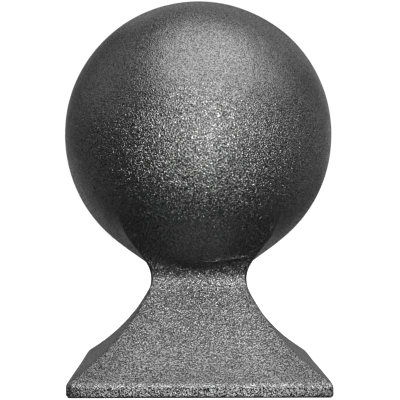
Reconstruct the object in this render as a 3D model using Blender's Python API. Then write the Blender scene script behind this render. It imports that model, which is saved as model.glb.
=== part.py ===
"""Ball finial of solid cast iron, for the top of a square gate or fence post.

One casting: a square slab at the foot, four faces that sweep up to a narrow square neck,
a neck that opens again under the ball, and the ball itself.

The casting is built as a stack of level outlines, from the underside to the crown. Each
outline is a rounded square, a circle, or the two run softly into each other under the ball.
Axes: +Z up, the origin in the middle of the underside, faces square to X and Y.
"""

import math

import bmesh
import bpy

MM = 0.001

# Foot
FOOT_WIDTH = 60.0 * MM
SLAB_THICKNESS = 3.0 * MM
SLAB_TOP_ROUNDING = 0.9 * MM
SLAB_UNDER_ROUNDING = 0.6 * MM
SLAB_CORNER_RADIUS = 0.7 * MM

# Neck: the waist is its narrowest place, and the flare above it runs into the ball
WAIST_WIDTH = 23.0 * MM
WAIST_HEIGHT = 25.2 * MM
WAIST_COVE_RADIUS = 7.0 * MM
WAIST_TURN_BELOW = math.radians(28.0)
WAIST_TURN_ABOVE = math.radians(28.0)
FLARE_HEIGHT = 7.0 * MM
HIP_RADIUS = 0.8 * MM

# Ball, and the soft joint between it and the neck
BALL_DIAMETER = 66.0 * MM
BALL_ABOVE_WAIST = 1.8 * MM
JOINT_SOFTNESS = 6.0 * MM

# Fineness of the outlines and of their stack
SIDE_STEPS = 10
CORNER_STEPS = 6
ROUNDING_STEPS = 4
SWEEP_STEPS = 11
COVE_STEPS = 5
JOINT_STEPS = 13
BALL_STEPS = 22

# Places on the ball, as angles from its lowest point
JOINT_END = math.radians(45.0)
EVEN_SPREAD = math.radians(67.0)

# Worked out from the sizes above
BALL_RADIUS = BALL_DIAMETER / 2
BALL_HEIGHT = WAIST_HEIGHT + BALL_ABOVE_WAIST + BALL_RADIUS
TOTAL_HEIGHT = BALL_HEIGHT + BALL_RADIUS
FOOT_HALF = FOOT_WIDTH / 2
WAIST_HALF = WAIST_WIDTH / 2
SIDES = 4
QUADRANT = 2 * math.pi / SIDES
QUADRANT_STEPS = SIDE_STEPS + CORNER_STEPS
OUTLINE_STEPS = SIDES * QUADRANT_STEPS
EVEN_STEP = QUADRANT / QUADRANT_STEPS

CAST_IRON_COLOUR = (0.105, 0.106, 0.108, 1.0)
CAST_IRON_ROUGHNESS = 0.45
CAST_IRON_METALLIC = 0.85
SMOOTH_LIMIT = math.radians(40.0)


def clear_scene():
    """Removes what the startup scene holds."""
    for old in list(bpy.data.objects):
        bpy.data.objects.remove(old)


def smoothstep(value):
    """A soft ramp from 0 to 1."""
    share = min(max(value, 0.0), 1.0)
    return share * share * (3 - 2 * share)


def soft_larger(first, second, softness):
    """The larger of two radii, eased where they are nearly equal, as a fillet would."""
    overlap = max(softness - abs(first - second), 0.0)
    return max(first, second) + overlap * overlap / (4 * softness)


def arc(start, corner, end, steps):
    """Points of the circular arc that leaves start towards a corner and comes into end from it.

    The corner is as far from the one as from the other.
    """
    weight = math.dist(start, end) / (2 * math.dist(start, corner))
    points = []
    for step in range(steps + 1):
        share = step / steps
        pull = (1 - share) ** 2, 2 * share * (1 - share) * weight, share**2
        points.append(
            tuple(
                (pull[0] * a + pull[1] * c + pull[2] * b) / sum(pull)
                for a, c, b in zip(start, corner, end)
            )
        )
    return points


def along_line(start, end, distance):
    """The point on the line from start to end at a distance from start."""
    share = distance / math.dist(start, end)
    return tuple(a + (b - a) * share for a, b in zip(start, end))


def rounded(before, corner, after, size):
    """The small rounding in place of a corner, starting and ending at size from it."""
    start, end = along_line(corner, before, size), along_line(corner, after, size)
    return arc(start, corner, end, ROUNDING_STEPS)


def cove_point(turn):
    """Half width and height on the waist's cove, at an angle above or below the waist."""
    half = WAIST_HALF + WAIST_COVE_RADIUS * (1 - math.cos(turn))
    return half, WAIST_HEIGHT + WAIST_COVE_RADIUS * math.sin(turn)


def sweep():
    """The long arc from the slab's edge up to the cove, which it joins with no corner."""
    slab_edge, cove_end = (FOOT_HALF, SLAB_THICKNESS), cove_point(-WAIST_TURN_BELOW)
    chord_turn = math.atan2(slab_edge[0] - cove_end[0], cove_end[1] - slab_edge[1])
    reach = math.dist(slab_edge, cove_end) / (2 * math.cos(chord_turn - WAIST_TURN_BELOW))
    corner = (
        cove_end[0] + reach * math.sin(WAIST_TURN_BELOW),
        cove_end[1] - reach * math.cos(WAIST_TURN_BELOW),
    )
    return arc(slab_edge, corner, cove_end, SWEEP_STEPS)


def foot_profile():
    """Half width and height of the foot, from the underside to where the cove starts."""
    under_middle, under_edge = (0.0, 0.0), (FOOT_HALF, 0.0)
    slab_edge, *rise = sweep()
    profile = rounded(under_middle, under_edge, slab_edge, SLAB_UNDER_ROUNDING)
    return profile + rounded(under_edge, slab_edge, rise[0], SLAB_TOP_ROUNDING) + rise


def cove_profile():
    """Half width and height of the waist's cove, without its first point."""
    below = [WAIST_TURN_BELOW * (step / COVE_STEPS - 1) for step in range(1, COVE_STEPS + 1)]
    above = [WAIST_TURN_ABOVE * step / COVE_STEPS for step in range(1, COVE_STEPS + 1)]
    return [cove_point(turn) for turn in below + above]


def flare_half_width(height):
    """Half width of the neck at a height above its cove: it flares, then keeps its width."""
    half, start = cove_point(WAIST_TURN_ABOVE)
    return half + min(height - start, FLARE_HEIGHT) * math.tan(WAIST_TURN_ABOVE)


def ball_height(turn):
    """Height on the ball at an angle from its lowest point."""
    return BALL_HEIGHT - BALL_RADIUS * math.cos(turn)


def ball_radius(height):
    """Radius of the ball's level circle, 0 below the ball."""
    return math.sqrt(max(BALL_RADIUS**2 - (height - BALL_HEIGHT) ** 2, 0.0))


def neck_levels():
    """Half width of the square part, and height, of each level below the ball's centre."""
    levels = foot_profile() + cove_profile()
    start, end = levels[-1][1], ball_height(JOINT_END)
    heights = [start + (end - start) * step / JOINT_STEPS for step in range(1, JOINT_STEPS)]
    heights += [ball_height(turn) for turn in ball_turns() if turn < QUADRANT]
    return levels + [(flare_half_width(height), height) for height in heights]


def ball_turns():
    """Angles on the ball, from its lowest point, of the levels above the joint."""
    whole = math.pi - JOINT_END
    return [JOINT_END + whole * step / BALL_STEPS for step in range(BALL_STEPS)]


def corner_radius(height):
    """Rounding of the four upright edges: small at the slab, full from the waist up."""
    share = smoothstep((height - SLAB_THICKNESS) / (WAIST_HEIGHT - SLAB_THICKNESS))
    return SLAB_CORNER_RADIUS + (HIP_RADIUS - SLAB_CORNER_RADIUS) * share


def square_radius(direction, half, corner):
    """Distance from the axis to a square with rounded corners, in a direction."""
    turned = abs((direction + QUADRANT / 2) % QUADRANT - QUADRANT / 2)
    flat = half - corner
    if math.tan(turned) * half <= flat:
        return half / math.cos(turned)
    toward = flat * (math.cos(turned) + math.sin(turned))
    return toward + math.sqrt(max(corner**2 - 2 * flat**2 + toward**2, 0.0))


def square_directions(half, corner):
    """Directions of an outline's points, with the corner steps spread over the corners."""
    flat = half - corner
    directions = []
    for side in range(SIDES):
        middle = side * QUADRANT
        for step in range(SIDE_STEPS):
            directions.append(middle + math.atan2(flat * (2 * step / SIDE_STEPS - 1), half))
        for step in range(CORNER_STEPS):
            turn = QUADRANT * step / CORNER_STEPS
            across, along = flat + corner * math.cos(turn), flat + corner * math.sin(turn)
            directions.append(middle + math.atan2(along, across))
    return directions


def even_directions():
    """Directions of an outline's points, spread evenly round it."""
    return [(index - SIDE_STEPS / 2) * EVEN_STEP for index in range(OUTLINE_STEPS)]


def level(direction, radius, height):
    """The point in a direction at a distance from the axis."""
    return radius * math.cos(direction), radius * math.sin(direction), height


def neck_outline(half, height):
    """The level outline where the casting is square, or square and ball together."""
    corner = corner_radius(height)
    spread = smoothstep((height - WAIST_HEIGHT) / (ball_height(EVEN_SPREAD) - WAIST_HEIGHT))
    points = []
    for even, squared in zip(even_directions(), square_directions(half, corner)):
        direction = even * spread + squared * (1 - spread)
        side = square_radius(direction, half, corner)
        points.append(level(direction, soft_larger(side, ball_radius(height), JOINT_SOFTNESS), height))
    return points


def ball_outline(height):
    """The level circle of the ball at a height."""
    return [level(direction, ball_radius(height), height) for direction in even_directions()]


def cast_iron():
    """Dark grey shot-blasted cast iron."""
    material = bpy.data.materials.new("cast_iron")
    material.use_nodes = True
    shader = material.node_tree.nodes["Principled BSDF"]
    shader.inputs["Base Color"].default_value = CAST_IRON_COLOUR
    shader.inputs["Roughness"].default_value = CAST_IRON_ROUGHNESS
    shader.inputs["Metallic"].default_value = CAST_IRON_METALLIC
    return material


def ball_finial():
    """The whole casting: its outlines stacked, joined by faces and closed at both ends."""
    shape = bmesh.new()
    outlines = [neck_outline(half, height) for half, height in neck_levels()]
    outlines += [ball_outline(ball_height(turn)) for turn in ball_turns() if turn >= QUADRANT]
    rings = [[shape.verts.new(point) for point in outline] for outline in outlines]
    shape.faces.new(reversed(rings[0]))
    for lower, upper in zip(rings, rings[1:]):
        for index in range(OUTLINE_STEPS):
            after = (index + 1) % OUTLINE_STEPS
            shape.faces.new((lower[index], lower[after], upper[after], upper[index]))
    crown = shape.verts.new((0.0, 0.0, TOTAL_HEIGHT))
    top = rings[-1]
    for index in range(OUTLINE_STEPS):
        shape.faces.new((top[index], top[(index + 1) % OUTLINE_STEPS], crown))
    mesh = bpy.data.meshes.new("ball_finial")
    shape.to_mesh(mesh)
    shape.free()
    mesh.shade_smooth()
    mesh.set_sharp_from_angle(angle=SMOOTH_LIMIT)
    finial = bpy.data.objects.new("ball_finial", mesh)
    finial.data.materials.append(cast_iron())
    bpy.context.scene.collection.objects.link(finial)
    return finial


clear_scene()
ball_finial()
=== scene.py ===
"""Looks of the cast-iron ball finial: its grainy cast skin, the iron's finish, light and camera."""

from __future__ import annotations

import logging
import math
from collections.abc import Sequence
from dataclasses import dataclass, field
from enum import Enum
import bmesh
import bpy
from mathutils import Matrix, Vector, noise


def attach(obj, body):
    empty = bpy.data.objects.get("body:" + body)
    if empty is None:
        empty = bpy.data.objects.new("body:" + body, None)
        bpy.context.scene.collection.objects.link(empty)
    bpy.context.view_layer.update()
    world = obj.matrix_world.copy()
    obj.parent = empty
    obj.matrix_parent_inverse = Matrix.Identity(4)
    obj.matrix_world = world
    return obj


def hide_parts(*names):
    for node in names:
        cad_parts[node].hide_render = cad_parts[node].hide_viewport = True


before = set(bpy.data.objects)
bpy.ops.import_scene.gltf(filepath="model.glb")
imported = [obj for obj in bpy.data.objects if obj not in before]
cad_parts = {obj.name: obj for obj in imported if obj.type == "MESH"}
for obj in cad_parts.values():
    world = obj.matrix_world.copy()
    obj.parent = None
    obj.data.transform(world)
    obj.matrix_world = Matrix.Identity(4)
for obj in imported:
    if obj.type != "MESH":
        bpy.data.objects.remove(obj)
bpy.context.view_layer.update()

MM = 0.001
CASTING_NODE = "ball_finial"
BODY = "root"
PHOTO_PIXELS = 400
SENSOR_WIDTH_MM = 36.0
SIDES = 4
QUADRANT = 2 * math.pi / SIDES
NOISE_MIDDLE = 0.5

Point2 = tuple[float, float]
Turns = tuple[float, float, float]
Colour = tuple[float, float, float, float]

BLACK: Colour = (0.0, 0.0, 0.0, 1.0)
WHITE: Colour = (1.0, 1.0, 1.0, 1.0)

log = logging.getLogger("finial")


def grey(level: float) -> Colour:
    """A neutral colour of one brightness."""
    return level, level, level, 1.0


@dataclass(frozen=True)
class Span:
    """A stretch of values, from a low one to a high one."""

    low: float
    high: float


class Value:
    """A shader socket that Python's operators work on, by adding Math nodes."""

    def __init__(self, shader: Shader, socket: bpy.types.NodeSocket) -> None:
        """Keeps the socket and the shader that it belongs to.

        Args:
            shader: The shader whose node tree the socket is in.
            socket: An output socket.
        """
        self.shader = shader
        self.socket = socket

    def math(self, operation: str, *others: Value | float) -> Value:
        """Adds a Math node on this value.

        Args:
            operation: Blender's name of the operation.
            others: The node's further inputs.

        Returns:
            The node's result.
        """
        inputs = dict(enumerate((self, *others)))
        return self.shader.add("ShaderNodeMath", {"operation": operation}, inputs)

    def reflected(self, operation: str, first: float) -> Value:
        """Adds a Math node with a number before this value.

        Args:
            operation: Blender's name of the operation.
            first: The number.

        Returns:
            The node's result.
        """
        return self.shader.add("ShaderNodeMath", {"operation": operation}, {0: first, 1: self})

    def __add__(self, other: Value | float) -> Value:
        """This value plus another."""
        return self.math("ADD", other)

    def __radd__(self, other: float) -> Value:
        """A number plus this value."""
        return self.reflected("ADD", other)

    def __sub__(self, other: Value | float) -> Value:
        """This value less another."""
        return self.math("SUBTRACT", other)

    def __rsub__(self, other: float) -> Value:
        """A number less this value."""
        return self.reflected("SUBTRACT", other)

    def __mul__(self, other: Value | float) -> Value:
        """This value times another."""
        return self.math("MULTIPLY", other)

    def __rmul__(self, other: float) -> Value:
        """A number times this value."""
        return self.reflected("MULTIPLY", other)

    def __truediv__(self, other: Value | float) -> Value:
        """This value divided by another."""
        return self.math("DIVIDE", other)

    def __rtruediv__(self, other: float) -> Value:
        """A number divided by this value."""
        return self.reflected("DIVIDE", other)

    def __abs__(self) -> Value:
        """This value without its sign."""
        return self.math("ABSOLUTE")


class Shader:
    """A material under construction."""

    def __init__(self, name: str) -> None:
        """Makes a material with an untouched Principled shader.

        Args:
            name: The material's name.
        """
        self.material = bpy.data.materials.new(name)
        self.material.use_nodes = True
        self.nodes = self.material.node_tree.nodes
        self.surface = self.nodes["Principled BSDF"]

    def add(
        self, kind: str, settings: dict[str, object], inputs: dict[object, object], output: object = 0
    ) -> Value:
        """Adds one node, sets it up and feeds it.

        Args:
            kind: The node's type.
            settings: The node's own settings, which are set first.
            inputs: Values or links of its sockets, by name or number.
            output: The name or number of the output that is wanted.

        Returns:
            The wanted output.
        """
        node = self.nodes.new(kind)
        for name, setting in settings.items():
            setattr(node, name, setting)
        for name, value in inputs.items():
            self.feed(node.inputs[name], value)
        return Value(self, node.outputs[output])

    def feed(self, socket: bpy.types.NodeSocket, value: object) -> None:
        """Links a value to a socket, or sets the socket to a constant.

        Args:
            socket: The input socket.
            value: A Value, or the constant.
        """
        if isinstance(value, Value):
            self.material.node_tree.links.new(value.socket, socket)
        else:
            socket.default_value = value

    def dress(self, **sockets: object) -> None:
        """Feeds the Principled shader's sockets, named with _ for a space.

        Args:
            sockets: Each socket's value or link.
        """
        for name, value in sockets.items():
            self.feed(self.surface.inputs[name.replace("_", " ").title()], value)

    def place(self) -> Value:
        """The place on the piece, in metres."""
        return self.add("ShaderNodeTexCoord", {}, {}, "Object")

    def split(self, place: Value, axis: str) -> Value:
        """One coordinate of a place."""
        return self.add("ShaderNodeSeparateXYZ", {}, {"Vector": place}, axis)

    def turned(self, place: Value, degrees: Turns) -> Value:
        """A place turned about the three axes, so that a pattern read there runs askew."""
        inputs = {"Vector": place, "Rotation": tuple(math.radians(angle) for angle in degrees)}
        return self.add("ShaderNodeMapping", {"vector_type": "POINT"}, inputs)

    def noise(self, place: Value, size: float, detail: float = 0.0, roughness: float = 0.5) -> Value:
        """Adds smooth noise.

        Args:
            place: Where it is read.
            size: Size of its largest features, in metres.
            detail: How many finer octaves it has.
            roughness: How strong those are.

        Returns:
            The noise, from 0 to 1.
        """
        inputs = {"Vector": place, "Scale": 1 / size, "Detail": detail, "Roughness": roughness}
        return self.add("ShaderNodeTexNoise", {}, inputs, "Fac")

    def ramp(self, value: Value, span: Span, start: float, end: float) -> Value:
        """Carries a value softly from its own span over to another, without leaving that.

        Args:
            value: The value.
            span: Its own span.
            start: What the low end becomes.
            end: What the high end becomes.

        Returns:
            The value between start and end.
        """
        inputs = {
            "Value": value,
            "From Min": span.low,
            "From Max": span.high,
            "To Min": start,
            "To Max": end,
        }
        return self.add("ShaderNodeMapRange", {"interpolation_type": "SMOOTHSTEP"}, inputs)

    def rise(self, value: Value, span: Span) -> Value:
        """0 below a span of the value and 1 above it."""
        return self.ramp(value, span, 0.0, 1.0)

    def fall(self, value: Value, span: Span) -> Value:
        """1 below a span of the value and 0 above it."""
        return self.ramp(value, span, 1.0, 0.0)

    def band(self, value: Value, start: Span, end: Span) -> Value:
        """1 between two spans of the value, and 0 below and above them."""
        return self.rise(value, start) * self.fall(value, end)

    def blend(self, share: Value, first: Value | Colour, second: Value | Colour) -> Value:
        """Mixes two colours.

        Args:
            share: How much of the second one there is, kept between 0 and 1.
            first: A colour, or a link to one.
            second: A colour, or a link to one.

        Returns:
            The mixed colour.
        """
        settings = {"data_type": "RGBA"}
        return self.add("ShaderNodeMix", settings, {0: share, 6: first, 7: second}, 2)


@dataclass(frozen=True)
class ZoneValues:
    """How far a place belongs to each zone of the casting, as values from 0 to 1.

    The one exception is the ball's underside, which is below 0 on the neck.
    """

    contact_shadow: Value
    slab: Value
    rim: Value
    foot: Value
    hips: Value
    crease: Value
    under: Value
    crown: Value


@dataclass(frozen=True)
class Zones:
    """Where the casting's zones begin and end, as heights above its underside."""

    # Painted shadow along the slab's lowest edge
    contact_shadow_end: Span = Span(0.15 * MM, 0.45 * MM)
    slab_end: Span = Span(2.2 * MM, 2.8 * MM)
    # Band of a painted highlight along the slab's top edge
    rim_start: Span = Span(2.2 * MM, 2.7 * MM)
    rim_end: Span = Span(3.0 * MM, 4.0 * MM)
    foot_end: Span = Span(6.0 * MM, 25.5 * MM)
    crease_start: Span = Span(24.4 * MM, 26.3 * MM)
    crease_end: Span = Span(27.2 * MM, 29.0 * MM)
    neck_end: Span = Span(22.0 * MM, 33.0 * MM)
    under_end: Span = Span(35.0 * MM, 52.0 * MM)
    crown_start: Span = Span(59.0 * MM, 73.0 * MM)

    # How near an upright edge, from 0 in the middle of a side to 1 at its corner
    hip_start: Span = Span(0.55, 0.9)

    def read(self, shader: Shader, place: Value) -> ZoneValues:
        """Finds the zones of a place.

        Args:
            shader: The shader that asks.
            place: The place on the piece.

        Returns:
            The zones.
        """
        level = shader.split(place, "Z")
        aside = abs(shader.split(place, "X"))
        ahead = abs(shader.split(place, "Y"))
        nearness = aside.math("MINIMUM", ahead) / aside.math("MAXIMUM", ahead)
        foot = shader.fall(level, self.foot_end)
        return ZoneValues(
            contact_shadow=shader.fall(level, self.contact_shadow_end),
            slab=shader.fall(level, self.slab_end),
            rim=shader.band(level, self.rim_start, self.rim_end),
            foot=foot,
            hips=shader.rise(nearness, self.hip_start) * foot,
            crease=shader.band(level, self.crease_start, self.crease_end),
            under=shader.fall(level, self.under_end) - shader.fall(level, self.neck_end),
            crown=shader.rise(level, self.crown_start),
        )


@dataclass(frozen=True)
class GrainValues:
    """The blasted grain at a place.

    The height is a plain number, about -2 in the deepest pits and about 0.3 at its highest. The
    skin's value is 1 on the skin and 0 in its hollows. The others run from 0 to 1.
    """

    height: Value
    skin: Value
    flecks: Value
    worn: Value
    clumps: Value
    patches: Value


@dataclass(frozen=True)
class BlastedGrain:
    """The pattern of the blasted skin: tight pits and flecks, in clumps and broad patches."""

    # Pits, in a coarser and a finer pattern that are turned askew
    size: float = 0.285 * MM
    fine_share: float = 0.83
    pit_turn: Turns = (37.0, 21.0, 53.0)
    fine_pit_turn: Turns = (-19.0, 48.0, 11.0)
    pit_span: Span = Span(0.2, 0.85)
    pit_depth: float = 1.25
    fine_pit_depth: float = 0.95

    # Clumps and patches
    clump_size: float = 1.7 * MM
    clump_height: float = 0.38
    patch_size: float = 9.0 * MM

    # Skin between the pits, by its height, and how much evener it is on the crown
    skin_start: Span = Span(-1.35, -0.45)
    foot_sink: float = 0.15
    crown_mean: float = 0.6
    crown_evenness: float = 0.2

    # Flecks as large as the coarser pits, and those that are worn bright
    fleck_turn: Turns = (61.0, -33.0, 27.0)
    fleck_start: Span = Span(0.4, 0.6)
    worn_start: Span = Span(0.66, 0.8)
    patch_wear: float = 0.15

    def read(self, shader: Shader, place: Value, zones: ZoneValues) -> GrainValues:
        """Finds the grain at a place.

        Args:
            shader: The shader that asks.
            place: The place on the piece.
            zones: Its zones.

        Returns:
            The grain.
        """
        pits = shader.noise(shader.turned(place, self.pit_turn), self.size)
        fine_pits = shader.noise(shader.turned(place, self.fine_pit_turn), self.size * self.fine_share)
        depth = shader.ramp(pits, self.pit_span, 0.0, self.pit_depth)
        depth = depth + shader.ramp(fine_pits, self.pit_span, 0.0, self.fine_pit_depth)
        clumps = shader.noise(place, self.clump_size, detail=2.0, roughness=0.55)
        patches = shader.noise(place, self.patch_size, detail=3.0, roughness=0.6)
        height = clumps * self.clump_height - depth
        speckle = shader.noise(shader.turned(place, self.fleck_turn), self.size)
        flecks = shader.rise(speckle, self.fleck_start)
        skin = shader.rise(height - zones.foot * self.foot_sink, self.skin_start)
        evening = zones.crown * (self.crown_mean - skin) * self.crown_evenness
        return GrainValues(
            height=height,
            skin=skin + evening + zones.slab * (flecks - skin),
            flecks=flecks,
            worn=shader.rise(speckle + patches * self.patch_wear, self.worn_start),
            clumps=clumps,
            patches=patches,
        )


@dataclass(frozen=True)
class CastingSeam:
    """The faint ragged seam across the front of the neck: a raised line, with a painted highlight along its
    edge.
    """

    height: float = 29.5 * MM
    slope: float = 0.1
    start: float = 0.5 * MM
    end: float = 12.0 * MM
    end_fade: float = 2.0 * MM
    front: float = -10.0 * MM
    half_width: float = 0.45 * MM
    stands: float = 0.35 * MM
    fullness: float = 0.6
    ragged_size: float = 1.1 * MM
    ragged_seed: float = 5.0
    raggedness: float = 0.3 * MM

    # The painted highlight along the edge: heights at the middle of the neck, places to the right and to
    # the front
    line_start: Span = Span(29.1 * MM, 29.4 * MM)
    line_end: Span = Span(29.5 * MM, 29.8 * MM)
    left_end: Span = Span(0.0, 1.5 * MM)
    right_end: Span = Span(10.5 * MM, 12.5 * MM)
    front_end: Span = Span(-10.0 * MM, -9.0 * MM)
    wander: float = 1.6 * MM

    def relief(self, place: Vector) -> float:
        """How far the seam stands out at a place.

        Args:
            place: The place on the smooth form.

        Returns:
            The distance, 0 away from the seam.
        """
        if place.y > self.front or not self.start < place.x < self.end:
            return 0.0
        ragged = noise.noise(Vector((place.x / self.ragged_size, 0.0, self.ragged_seed)))
        line = self.height + self.slope * (place.x - self.start) + ragged * self.raggedness
        away = (place.z - line) / self.half_width
        ends = min(place.x - self.start, self.end - place.x) / self.end_fade
        return self.stands * math.exp(-away * away) * smoothstep(ends) * (self.fullness + ragged)

    def painted_highlight(self, shader: Shader, place: Value, clumps: Value) -> Value:
        """How strongly the painted highlight along the seam's edge shows at a place.

        Args:
            shader: The shader that asks.
            place: The place on the piece.
            clumps: The grain's clumps, which the edge wanders with.

        Returns:
            The brightness, from 0 to 1.
        """
        across = shader.split(place, "X")
        line = shader.split(place, "Z") - across * self.slope + (clumps - NOISE_MIDDLE) * self.wander
        edge = shader.band(line, self.line_start, self.line_end)
        edge = edge * shader.band(across, self.left_end, self.right_end)
        return edge * shader.fall(shader.split(place, "Y"), self.front_end)


@dataclass(frozen=True)
class ZonedTone:
    """One tone of the iron, set apart for the ball, the foot and the slab's edge."""

    ball: float
    foot: float
    slab: float

    def read(self, shader: Shader, zones: ZoneValues) -> Value:
        """The tone in the zones of a place."""
        swept = shader.blend(zones.foot, grey(self.ball), grey(self.foot))
        return shader.blend(zones.slab, swept, grey(self.slab))


@dataclass(frozen=True)
class BlastedIron:
    """Cast iron as blasted: a dull dark metal with a tight, glinting grain."""

    zones: Zones = Zones()
    grain: BlastedGrain = BlastedGrain()
    seam: CastingSeam = CastingSeam()

    # Tones. The skin of the foot and of the slab is set lighter than the ball's, partly as painted light on
    # them
    skin: ZonedTone = ZonedTone(ball=0.24, foot=0.55, slab=0.375)
    hollow: ZonedTone = ZonedTone(ball=0.045, foot=0.06, slab=0.015)
    glint: ZonedTone = ZonedTone(ball=0.42, foot=0.5, slab=0.5)
    glint_share: float = 0.6
    foot_glint_loss: float = 0.35
    crown_glint_loss: float = 0.35
    under_shade: float = 0.4
    crease_shade: float = 0.66
    hip_shade: float = 0.36
    seam_highlight_tone: float = 0.8
    edge_highlight_tone: float = 0.43
    edge_tint: float = 0.58

    # Relief
    relief: float = 0.076 * MM
    foot_relief: float = 1.1
    crown_relief: float = 0.42
    slab_relief_gain: float = 0.3

    # Sheen
    metallic: float = 1.0
    foot_dust: float = 0.25
    roughness: Span = Span(0.15, 0.19)
    foot_dullness: float = 0.06
    sheen_span: Span = Span(0.38, 0.62)
    patch_sheen: float = 0.6
    clump_sheen: float = 0.4
    lacquer: float = 0.66
    lacquer_roughness: float = 0.3

    def bare_tone(self, shader: Shader, grain: GrainValues, zones: ZoneValues) -> Value:
        """Colours the grain, dark in its hollows and bright where its flecks are worn.

        Args:
            shader: The shader that asks.
            grain: The grain at a place.
            zones: The zones of the place.

        Returns:
            The colour.
        """
        tone = shader.blend(grain.skin, self.hollow.read(shader, zones), self.skin.read(shader, zones))
        share = self.glint_share - zones.foot * self.foot_glint_loss - zones.crown * self.crown_glint_loss
        return shader.blend(grain.worn * share, tone, self.glint.read(shader, zones))

    def shaded(self, shader: Shader, tone: Value, grain: GrainValues, zones: ZoneValues) -> Value:
        """Paints shade on the ball's underside, the crease below it and the foot's upright edges.

        Args:
            shader: The shader that asks.
            tone: The colour so far.
            grain: The grain at a place.
            zones: The zones of the place.

        Returns:
            The darkened colour.
        """
        tone = shader.blend(zones.under * self.under_shade, tone, BLACK)
        tone = shader.blend(zones.crease * (1 - grain.worn) * self.crease_shade, tone, BLACK)
        return shader.blend(zones.hips * self.hip_shade, tone, BLACK)

    def sheen(self, shader: Shader, grain: GrainValues, zones: ZoneValues) -> Value:
        """Makes the roughness uneven from patch to patch, and duller on the foot.

        Args:
            shader: The shader that asks.
            grain: The grain at a place.
            zones: The zones of the place.

        Returns:
            The roughness.
        """
        uneven = grain.patches * self.patch_sheen + grain.clumps * self.clump_sheen
        spread = shader.ramp(uneven, self.sheen_span, self.roughness.low, self.roughness.high)
        return spread + zones.foot * self.foot_dullness

    def bumps(self, shader: Shader, grain: GrainValues, zones: ZoneValues) -> Value:
        """Raises the grain, lower on the crown and higher on the foot and the slab.

        Args:
            shader: The shader that asks.
            grain: The grain at a place.
            zones: The zones of the place.

        Returns:
            The normal.
        """
        coarse = 1 + zones.foot * (self.foot_relief - 1) + zones.crown * (self.crown_relief - 1)
        coarse = coarse + zones.slab * self.slab_relief_gain
        inputs = {"Strength": 1.0, "Distance": self.relief, "Height": grain.height * coarse}
        return shader.add("ShaderNodeBump", {}, inputs, "Normal")

    def material(self) -> bpy.types.Material:
        """Builds the finish.

        Returns:
            The material.
        """
        shader = Shader("blasted_iron")
        place = shader.place()
        zones = self.zones.read(shader, place)
        grain = self.grain.read(shader, place, zones)
        seam = self.seam.painted_highlight(shader, place, grain.clumps)
        tone = self.shaded(shader, self.bare_tone(shader, grain, zones), grain, zones)
        # Painted highlight: light flecks along the seam's edge
        tone = shader.blend(seam * grain.flecks, tone, grey(self.seam_highlight_tone))
        # Painted highlight: a lighter band on the skin along the slab's top edge
        tone = shader.blend(zones.rim * grain.skin, tone, grey(self.edge_highlight_tone))
        # Painted shadow: a dark line round the slab's lowest edge, where it meets what it stands on
        tone = shader.blend(zones.contact_shadow, tone, BLACK)
        shader.dress(base_color=tone, metallic=self.metallic - zones.foot * self.foot_dust)
        shader.dress(roughness=self.sheen(shader, grain, zones))
        shader.dress(normal=self.bumps(shader, grain, zones))
        shader.dress(specular_tint=grey(self.edge_tint))
        shader.dress(coat_weight=grain.flecks * self.lacquer, coat_roughness=self.lacquer_roughness)
        return shader.material


@dataclass(frozen=True)
class Paper:
    """Seamless white studio paper, with a cloudiness too faint to be seen as a pattern."""

    tone: float = 0.8
    cloud_tone: float = 0.792
    cloud_size: float = 3.0 * MM
    roughness: float = 0.9
    glow: float = 0.92

    def material(self) -> bpy.types.Material:
        """Builds the finish.

        Returns:
            The material.
        """
        shader = Shader("studio_paper")
        clouds = shader.noise(shader.place(), self.cloud_size, detail=3.0, roughness=0.6)
        tone = shader.blend(clouds, grey(self.cloud_tone), grey(self.tone))
        shader.dress(base_color=tone, roughness=self.roughness)
        shader.dress(emission_color=WHITE, emission_strength=self.glow)
        return shader.material


class ReliefKind(Enum):
    """How a layer of relief is shaped."""

    SWELL = "swell"
    PITS = "pits"


@dataclass(frozen=True)
class ReliefLayer:
    """One scale of unevenness in the cast skin."""

    kind: ReliefKind
    wavelength: float
    depth: float
    seed: float
    pit_steepness: float = 2.0
    pit_rarity: float = 0.55

    def at(self, place: Vector) -> float:
        """How far the skin stands out at a place.

        Args:
            place: The place on the smooth form.

        Returns:
            The distance. A swell goes both ways by up to its depth, and pits only go inwards.
        """
        shift = Vector((self.seed, 2 * self.seed, 3 * self.seed))
        value = noise.noise(place / self.wavelength + shift)
        if self.kind is ReliefKind.PITS:
            return -self.depth * max(value * self.pit_steepness - self.pit_rarity, 0.0)
        return self.depth * value


@dataclass(frozen=True)
class WornCorner:
    """A corner of the slab that is more rounded than its outline says."""

    x_side: int
    y_side: int
    depth: float
    reach: float = 5.0 * MM


def smoothstep(value: float) -> float:
    """A soft ramp from 0 to 1."""
    share = min(max(value, 0.0), 1.0)
    return share * share * (3 - 2 * share)


def soft_larger(first: float, second: float, softness: float) -> float:
    """The larger of two radii, eased where they are nearly equal."""
    overlap = max(softness - abs(first - second), 0.0)
    return max(first, second) + overlap * overlap / (4 * softness)


def arc(start: Point2, corner: Point2, end: Point2, steps: int) -> list[Point2]:
    """Points of the circular arc between two points, tangent to the lines to a corner.

    Args:
        start: Where the arc leaves.
        corner: Where the two tangents meet.
        end: Where the arc arrives.
        steps: How many pieces it is cut into.

    Returns:
        The points, both ends included.
    """
    weight = math.dist(start, end) / (2 * math.dist(start, corner))
    points = []
    for step in range(steps + 1):
        share = step / steps
        pulls = (1 - share) ** 2, 2 * share * (1 - share) * weight, share**2
        parts = tuple(zip(pulls, (start, corner, end)))
        points.append(tuple(sum(pull * spot[axis] for pull, spot in parts) / sum(pulls) for axis in (0, 1)))
    return points


def toward(start: Point2, end: Point2, distance: float) -> Point2:
    """The point on the line from start to end at a distance from start."""
    share = distance / math.dist(start, end)
    return start[0] + (end[0] - start[0]) * share, start[1] + (end[1] - start[1]) * share


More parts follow.
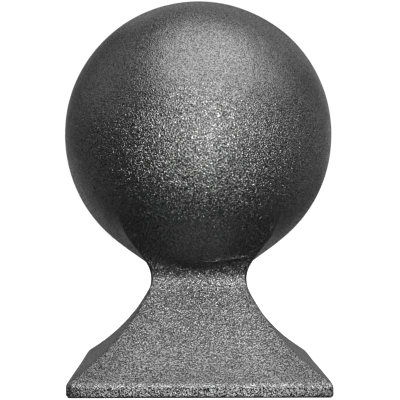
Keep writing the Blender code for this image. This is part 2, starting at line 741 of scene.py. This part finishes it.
@dataclass(frozen=True)
class FinialForm:
    """The smooth form of the casting, with the CAD part's own sizes."""

    foot_width: float = 60.0 * MM
    slab_thickness: float = 3.0 * MM
    slab_top_rounding: float = 0.9 * MM
    slab_under_rounding: float = 0.6 * MM
    slab_corner_radius: float = 0.7 * MM
    waist_width: float = 23.0 * MM
    waist_height: float = 25.2 * MM
    cove_radius: float = 7.0 * MM
    cove_turn: float = math.radians(28.0)
    flare_height: float = 7.0 * MM
    hip_radius: float = 0.8 * MM
    ball_diameter: float = 66.0 * MM
    ball_above_waist: float = 1.8 * MM
    joint_softness: float = 6.0 * MM
    joint_end: float = math.radians(45.0)
    even_spread: float = math.radians(67.0)

    # Spacing of the levels, and the share of it on the slab and at the joint, and in the cove
    spacing: float = 0.55 * MM
    close_spacing: float = 0.6
    cove_spacing: float = 0.8
    side_steps: int = 88
    corner_steps: int = 8
    under_rounding_steps: int = 4
    top_rounding_steps: int = 6
    upright_steps: int = 3

    # Step of the sweep that the slab's top rounding heads for, and how many of its sizes it takes
    heading_step: int = 3
    takeover: float = 1.2

    # Circles under this share of the ball's radius lose half their points, and half again
    full_circle_share: float = 0.5
    fewest_points: int = 12

    # Outlines of the underside: the share of its width, and one point kept in how many
    underside_steps: tuple[tuple[float, int], ...] = (
        (0.3, 8),
        (0.55, 8),
        (0.75, 8),
        (0.88, 4),
        (0.95, 2),
        (0.98, 1),
    )

    @property
    def ball_radius(self) -> float:
        """Radius of the ball."""
        return self.ball_diameter / 2

    @property
    def ball_centre(self) -> float:
        """Height of the ball's centre."""
        return self.waist_height + self.ball_above_waist + self.ball_radius

    @property
    def crown(self) -> float:
        """Height of the ball's highest point."""
        return self.ball_centre + self.ball_radius

    @property
    def outline_steps(self) -> int:
        """Points in the fullest outline."""
        return SIDES * (self.side_steps + self.corner_steps)

    def cove_point(self, turn: float) -> Point2:
        """Half width and height on the waist's cove, at an angle above or below the waist."""
        half = self.waist_width / 2 + self.cove_radius * (1 - math.cos(turn))
        return half, self.waist_height + self.cove_radius * math.sin(turn)

    def sweep(self) -> list[Point2]:
        """Draws the long arc from the slab's edge up to the cove.

        Returns:
            Half width and height of its points.
        """
        slab_edge = self.foot_width / 2, self.slab_thickness
        cove_end = self.cove_point(-self.cove_turn)
        length = math.dist(slab_edge, cove_end)
        chord_turn = math.atan2(slab_edge[0] - cove_end[0], cove_end[1] - slab_edge[1])
        reach = length / (2 * math.cos(chord_turn - self.cove_turn))
        corner = (
            cove_end[0] + reach * math.sin(self.cove_turn),
            cove_end[1] - reach * math.cos(self.cove_turn),
        )
        return arc(slab_edge, corner, cove_end, round(length / self.spacing))

    def foot_profile(self) -> list[Point2]:
        """Draws the foot from the underside to the cove.

        Returns:
            Half width and height of its points.
        """
        middle = 0.0, 0.0
        under_edge = self.foot_width / 2, 0.0
        under, top = self.slab_under_rounding, self.slab_top_rounding
        slab_edge, *rise = self.sweep()
        heading = rise[self.heading_step]
        lower_ends = toward(under_edge, middle, under), toward(under_edge, slab_edge, under)
        lower = arc(lower_ends[0], under_edge, lower_ends[1], self.under_rounding_steps)
        gap = self.spacing * self.close_spacing
        upright = [toward(lower[-1], slab_edge, gap * step) for step in range(1, self.upright_steps + 1)]
        upper_ends = toward(slab_edge, under_edge, top), toward(slab_edge, heading, top)
        upper = arc(upper_ends[0], slab_edge, upper_ends[1], self.top_rounding_steps)
        beyond = [point for point in rise if math.dist(point, slab_edge) > top * self.takeover]
        return lower + upright + upper + beyond

    def neck_half_width(self, height: float) -> float:
        """Half width of the neck above its cove: it flares, then keeps its width."""
        half, start = self.cove_point(self.cove_turn)
        return half + min(height - start, self.flare_height) * math.tan(self.cove_turn)

    def ball_height(self, turn: float) -> float:
        """Height on the ball at an angle from its lowest point."""
        return self.ball_centre - self.ball_radius * math.cos(turn)

    def ball_level(self, height: float) -> float:
        """Radius of the ball's level circle, 0 below the ball."""
        return math.sqrt(max(self.ball_radius**2 - (height - self.ball_centre) ** 2, 0.0))

    def corner_radius(self, height: float) -> float:
        """Rounding of the four upright edges: small at the slab, full from the waist up."""
        share = smoothstep((height - self.slab_thickness) / (self.waist_height - self.slab_thickness))
        return self.slab_corner_radius + (self.hip_radius - self.slab_corner_radius) * share

    def square_radius(self, direction: float, half: float, corner: float) -> float:
        """Distance from the axis to a square with rounded corners.

        Args:
            direction: The direction, as an angle from +X.
            half: The square's half width.
            corner: The radius of its corners.

        Returns:
            The distance.
        """
        turned = abs((direction + QUADRANT / 2) % QUADRANT - QUADRANT / 2)
        flat = half - corner
        if math.tan(turned) * half <= flat:
            return half / math.cos(turned)
        reach = flat * (math.cos(turned) + math.sin(turned))
        return reach + math.sqrt(max(corner**2 - 2 * flat**2 + reach**2, 0.0))

    def square_directions(self, half: float, corner: float) -> list[float]:
        """Directions of a square outline's points, close together at its corners.

        Args:
            half: The square's half width.
            corner: The radius of its corners.

        Returns:
            The directions, as angles from +X.
        """
        flat = half - corner
        directions = []
        for side in range(SIDES):
            middle = side * QUADRANT
            for step in range(self.side_steps):
                directions.append(middle + math.atan2(flat * (2 * step / self.side_steps - 1), half))
            for step in range(self.corner_steps):
                turn = QUADRANT * step / self.corner_steps
                along = flat + corner * math.sin(turn)
                directions.append(middle + math.atan2(along, flat + corner * math.cos(turn)))
        return directions

    def even_directions(self) -> list[float]:
        """Directions of an outline's points, spread evenly."""
        step = 2 * math.pi / self.outline_steps
        return [(index - self.side_steps / 2) * step for index in range(self.outline_steps)]

    def neck_outline(self, half: float, height: float, every: int = 1) -> list[Vector]:
        """The level outline where the casting is square, or square and ball together.

        Args:
            half: The square's half width.
            height: The level.
            every: Keeps one point in so many.

        Returns:
            The points, counter-clockwise from above.
        """
        corner = self.corner_radius(height)
        end = self.ball_height(self.even_spread)
        spread = smoothstep((height - self.waist_height) / (end - self.waist_height))
        ball = self.ball_level(height)
        points = []
        for even, squared in zip(self.even_directions(), self.square_directions(half, corner)):
            direction = even * spread + squared * (1 - spread)
            radius = soft_larger(self.square_radius(direction, half, corner), ball, self.joint_softness)
            points.append(Vector((radius * math.cos(direction), radius * math.sin(direction), height)))
        return points[::every]

    def ball_outline(self, height: float, every: int) -> list[Vector]:
        """The ball's level circle.

        Args:
            height: The level.
            every: Keeps one point in so many.

        Returns:
            The points, counter-clockwise from above.
        """
        radius = self.ball_level(height)
        return [
            Vector((radius * math.cos(turn), radius * math.sin(turn), height))
            for turn in self.even_directions()[::every]
        ]

    def thinning(self, radius: float) -> int:
        """Finds how few points a circle of the ball needs.

        Args:
            radius: The circle's radius.

        Returns:
            One point in how many is kept.
        """
        every = 1
        full_radius = self.ball_radius * self.full_circle_share
        while radius * every < full_radius and every < self.outline_steps // self.fewest_points:
            every *= 2
        return every

    def underside(self) -> list[list[Vector]]:
        """Draws the flat underside.

        Returns:
            Its outlines, from near its middle outwards.
        """
        edge = self.foot_width / 2 - self.slab_under_rounding
        outlines = []
        for share, every in self.underside_steps:
            outline = self.neck_outline(edge, 0.0, every)
            outlines.append([Vector((point.x * share, point.y * share, 0.0)) for point in outline])
        return outlines

    def outlines(self) -> list[list[Vector]]:
        """Draws the whole casting.

        Returns:
            Its outlines, from the middle of its underside to its crown.
        """
        levels = self.foot_profile()
        turns = round(2 * self.cove_turn * self.cove_radius / (self.spacing * self.cove_spacing))
        levels += [self.cove_point(self.cove_turn * (2 * step / turns - 1)) for step in range(1, turns + 1)]
        start, end = levels[-1][1], self.ball_height(self.joint_end)
        steps = round((end - start) / (self.spacing * self.close_spacing))
        heights = [start + (end - start) * step / steps for step in range(1, steps)]
        whole = math.pi - self.joint_end
        count = round(self.ball_radius * whole / self.spacing)
        ball_turns = [self.joint_end + whole * step / count for step in range(count)]
        heights += [self.ball_height(turn) for turn in ball_turns if turn < QUADRANT]
        levels += [(self.neck_half_width(height), height) for height in heights]
        outlines = self.underside() + [self.neck_outline(half, height) for half, height in levels]
        for height in (self.ball_height(turn) for turn in ball_turns if turn >= QUADRANT):
            outlines.append(self.ball_outline(height, self.thinning(self.ball_level(height))))
        return outlines


@dataclass
class FinialCasting:
    """The casting as it left the foundry: the smooth form with its cast skin."""

    form: FinialForm = field(default_factory=FinialForm)
    finish: BlastedIron = field(default_factory=BlastedIron)
    margin: float = 0.1 * MM
    layers: tuple[ReliefLayer, ...] = (
        ReliefLayer(ReliefKind.SWELL, wavelength=19.0 * MM, depth=0.12 * MM, seed=3.1),
        ReliefLayer(ReliefKind.SWELL, wavelength=2.1 * MM, depth=0.02 * MM, seed=12.9),
        ReliefLayer(ReliefKind.SWELL, wavelength=1.3 * MM, depth=0.012 * MM, seed=7.7),
        ReliefLayer(ReliefKind.PITS, wavelength=2.6 * MM, depth=0.1 * MM, seed=21.3),
    )
    corners: tuple[WornCorner, ...] = (
        WornCorner(x_side=-1, y_side=-1, depth=1.4 * MM, reach=3.2 * MM),
        WornCorner(x_side=1, y_side=-1, depth=0.25 * MM),
        WornCorner(x_side=1, y_side=1, depth=0.5 * MM),
        WornCorner(x_side=-1, y_side=1, depth=0.4 * MM),
    )

    def join(self, shape: bmesh.types.BMesh) -> None:
        """Joins the form's outlines into one closed skin.

        Args:
            shape: The mesh that is built.
        """
        rings = [[shape.verts.new(point) for point in outline] for outline in self.form.outlines()]
        bottom = shape.verts.new((0.0, 0.0, 0.0))
        crown = shape.verts.new((0.0, 0.0, self.form.crown))
        for lower, upper in zip(rings, rings[1:]):
            self.bridge(shape, lower, upper)
        first, last = rings[0], rings[-1]
        for index in range(len(first)):
            shape.faces.new((bottom, first[(index + 1) % len(first)], first[index]))
        for index in range(len(last)):
            shape.faces.new((last[index], last[(index + 1) % len(last)], crown))

    @staticmethod
    def bridge(
        shape: bmesh.types.BMesh,
        lower: Sequence[bmesh.types.BMVert],
        upper: Sequence[bmesh.types.BMVert],
    ) -> None:
        """Joins two neighbouring rings, one of which may have half the other's points.

        Args:
            shape: The mesh that is built.
            lower: The ring that comes first on the way from the underside to the crown.
            upper: The next ring.
        """
        fewer = min(len(lower), len(upper))
        for index in range(fewer):
            after = (index + 1) % fewer
            if len(lower) == len(upper):
                shape.faces.new((lower[index], lower[after], upper[after], upper[index]))
            elif len(lower) > len(upper):
                one, two, three = (lower[(2 * index + step) % len(lower)] for step in (0, 1, 2))
                shape.faces.new((one, two, upper[index]))
                shape.faces.new((two, three, upper[after], upper[index]))
            else:
                one, two, three = (upper[(2 * index + step) % len(upper)] for step in (0, 1, 2))
                shape.faces.new((lower[index], two, one))
                shape.faces.new((lower[index], lower[after], three, two))

    def skin_offset(self, place: Vector) -> float:
        """How far the cast skin stands out from the smooth form.

        Args:
            place: The place on the smooth form.

        Returns:
            The distance: above 0 on the seam alone, and elsewhere 0 or less.
        """
        stands = sum(layer.at(place) for layer in self.layers)
        return min(stands - self.margin, 0.0) + self.finish.seam.relief(place)

    def wear(self, place: Vector) -> Vector:
        """How a place on the slab's corners has worn inwards.

        Args:
            place: The place on the smooth form.

        Returns:
            The way that it has moved.
        """
        moved = Vector((0.0, 0.0, 0.0))
        half = self.form.foot_width / 2
        for corner in self.corners:
            spot = Vector((corner.x_side * half, corner.y_side * half, place.z))
            near = 1 - (place - spot).length / corner.reach
            if near > 0 and place.z > 0:
                inwards = Vector((-corner.x_side, -corner.y_side, 0.0)).normalized()
                moved += inwards * corner.depth * near * near
        return moved

    def build(self) -> bpy.types.Object:
        """Builds the casting and dresses it.

        Returns:
            The piece.
        """
        shape = bmesh.new()
        self.join(shape)
        shape.normal_update()
        places = [(vert.co.copy(), vert.normal.copy()) for vert in shape.verts]
        for vert, (place, outwards) in zip(shape.verts, places):
            if place.z > 0:
                vert.co = place + outwards * self.skin_offset(place) + self.wear(place)
                vert.co.z = max(vert.co.z, 0.0)
        mesh = bpy.data.meshes.new("iron_casting")
        shape.to_mesh(mesh)
        shape.free()
        mesh.shade_smooth()
        mesh.materials.append(self.finish.material())
        piece = bpy.data.objects.new("iron_casting", mesh)
        bpy.context.scene.collection.objects.link(piece)
        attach(piece, BODY)
        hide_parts(CASTING_NODE)
        return piece


@dataclass(frozen=True)
class Softbox:
    """A large even studio light, placed by where it stands as seen from the finial.

    Azimuth 0 is the camera's side and grows to the right. Both angles are in degrees. The light
    faces the spot that it is aimed at, and can then be slid to the right and up in its own plane.
    """

    name: str
    azimuth: float
    elevation: float
    width: float
    height: float
    radiance: float
    right: float = 0.0
    up: float = 0.0
    distance: float = 0.5
    aim: tuple[float, float, float] = (0.0, 0.0, 60.0 * MM)

    def build(self) -> bpy.types.Object:
        """Hangs the light.

        Returns:
            The light.
        """
        lamp = bpy.data.lights.new(self.name, "AREA")
        lamp.shape = "RECTANGLE"
        lamp.size = self.width
        lamp.size_y = self.height
        lamp.energy = self.radiance * math.pi * self.width * self.height
        light = bpy.data.objects.new(self.name, lamp)
        turn = math.radians(self.azimuth)
        tilt = math.radians(self.elevation)
        way = Vector((math.sin(turn) * math.cos(tilt), -math.cos(turn) * math.cos(tilt), math.sin(tilt)))
        across = Vector((math.cos(turn), math.sin(turn), 0.0))
        spot = Vector(self.aim) + way * self.distance
        light.location = spot + across * self.right + way.cross(across) * self.up
        light.rotation_euler = way.to_track_quat("Z", "Y").to_euler()
        bpy.context.scene.collection.objects.link(light)
        return light


@dataclass
class Studio:
    """A seamless pale sweep all round, soft lights and a dim surround."""

    paper: Paper = field(default_factory=Paper)
    floor_radius: float = 1.6
    wall_height: float = 2.4
    bend: float = 0.6
    bend_steps: int = 12
    round_steps: int = 96
    floor_shares: tuple[float, ...] = (0.1, 0.3, 0.6, 0.8)
    surround: float = 0.1

    # Each light's name, azimuth, elevation, width, height and radiance
    lights: tuple[Softbox, ...] = (
        Softbox("front_softbox", 7.3, -6.9, 0.195, 0.325, 7.75),
        Softbox("front_lamp", 6.0, 3.0, 0.18, 0.12, 6.0),
        Softbox("top_softbox", 0.0, 38.0, 0.65, 1.16, 1.93, right=0.04, up=0.48),
        Softbox("top_right_softbox", 75.0, 48.0, 0.36, 0.44, 0.8),
        Softbox("right_softbox", 55.0, 27.0, 0.24, 0.27, 0.8),
        Softbox("left_fill", -97.0, 36.0, 0.55, 0.52, 0.29),
        Softbox("rear_left_low_lamp", -144.0, -17.0, 0.28, 0.26, 0.3),
        Softbox("rear_right_low_lamp", 157.0, -26.0, 0.26, 0.24, 0.16),
        Softbox("rear_left_lamp", -153.0, 14.0, 0.2, 0.3, 0.12),
        Softbox("rear_right_lamp", 148.0, 12.0, 0.22, 0.3, 0.3),
        Softbox("rear_softbox", 165.0, 18.0, 1.4, 0.9, 0.05),
        Softbox("rear_top_softbox", 160.0, 50.0, 0.7, 0.4, 0.42),
        Softbox("right_fill", 105.0, -5.0, 0.4, 0.5, 0.29),
    )

    def profile(self) -> list[Point2]:
        """Draws the sweep from its middle outwards and up.

        Returns:
            Radius and height of its points.
        """
        points = [(self.floor_radius * share, 0.0) for share in self.floor_shares]
        for step in range(self.bend_steps + 1):
            turn = QUADRANT * step / self.bend_steps
            out, up = self.bend * math.sin(turn), self.bend * (1 - math.cos(turn))
            points.append((self.floor_radius + out, up))
        return points + [(self.floor_radius + self.bend, self.wall_height)]

    def build_sweep(self) -> bpy.types.Object:
        """Builds the paper sweep, which only the camera sees.

        Returns:
            The sweep.
        """
        shape = bmesh.new()
        centre = shape.verts.new((0.0, 0.0, 0.0))
        turns = [2 * math.pi * step / self.round_steps for step in range(self.round_steps)]
        rings = []
        for radius, height in self.profile():
            points = [(radius * math.cos(turn), radius * math.sin(turn), height) for turn in turns]
            rings.append([shape.verts.new(point) for point in points])
        for index in range(self.round_steps):
            after = (index + 1) % self.round_steps
            shape.faces.new((centre, rings[0][index], rings[0][after]))
            for inner, outer in zip(rings, rings[1:]):
                shape.faces.new((inner[index], outer[index], outer[after], inner[after]))
        mesh = bpy.data.meshes.new("paper_sweep")
        shape.to_mesh(mesh)
        shape.free()
        mesh.shade_smooth()
        mesh.materials.append(self.paper.material())
        sweep = bpy.data.objects.new("paper_sweep", mesh)
        sweep.visible_glossy = False
        sweep.visible_diffuse = False
        sweep.visible_shadow = False
        bpy.context.scene.collection.objects.link(sweep)
        return sweep

    def build_surround(self) -> None:
        """Sets the even dim light that comes from all round."""
        world = bpy.data.worlds.new("dim_surround")
        world.use_nodes = True
        surround = world.node_tree.nodes["Background"].inputs
        surround["Color"].default_value = WHITE
        surround["Strength"].default_value = self.surround
        bpy.context.scene.world = world

    def build(self) -> bpy.types.Object:
        """Builds the sweep, hangs the lights and sets the surround.

        Returns:
            The sweep.
        """
        sweep = self.build_sweep()
        for light in self.lights:
            light.build()
        self.build_surround()
        bpy.context.scene.view_settings.view_transform = "Standard"
        return sweep


@dataclass(frozen=True)
class Viewpoint:
    """Where the photograph was taken from. Both angles are in radians."""

    right: float = -3.38 * MM
    distance: float = 275.4 * MM
    height: float = 43.0 * MM
    yaw: float = 0.0139
    pitch: float = 0.0038
    focal_pixels: float = 1108.8
    nearest: float = 10.0 * MM

    def build(self) -> bpy.types.Object:
        """Sets the camera up and makes it the scene's own.

        Returns:
            The camera.
        """
        lens = bpy.data.cameras.new("photo_camera")
        lens.sensor_width = SENSOR_WIDTH_MM
        lens.lens = self.focal_pixels / PHOTO_PIXELS * SENSOR_WIDTH_MM
        lens.clip_start = self.nearest
        camera = bpy.data.objects.new("photo_camera", lens)
        camera.location = (self.right, -self.distance, self.height)
        camera.rotation_euler = (math.pi / 2 + self.pitch, 0.0, -self.yaw)
        bpy.context.scene.collection.objects.link(camera)
        bpy.context.scene.camera = camera
        return camera


def main() -> None:
    """Sets up the camera, builds the casting and the studio, and reports each piece."""
    logging.basicConfig(level=logging.INFO, format="%(message)s")
    Viewpoint().build()
    for maker in (FinialCasting(), Studio()):
        piece = maker.build()
        log.info("%s: %d faces", piece.name, len(piece.data.polygons))


if __name__ == "__main__":
    main()
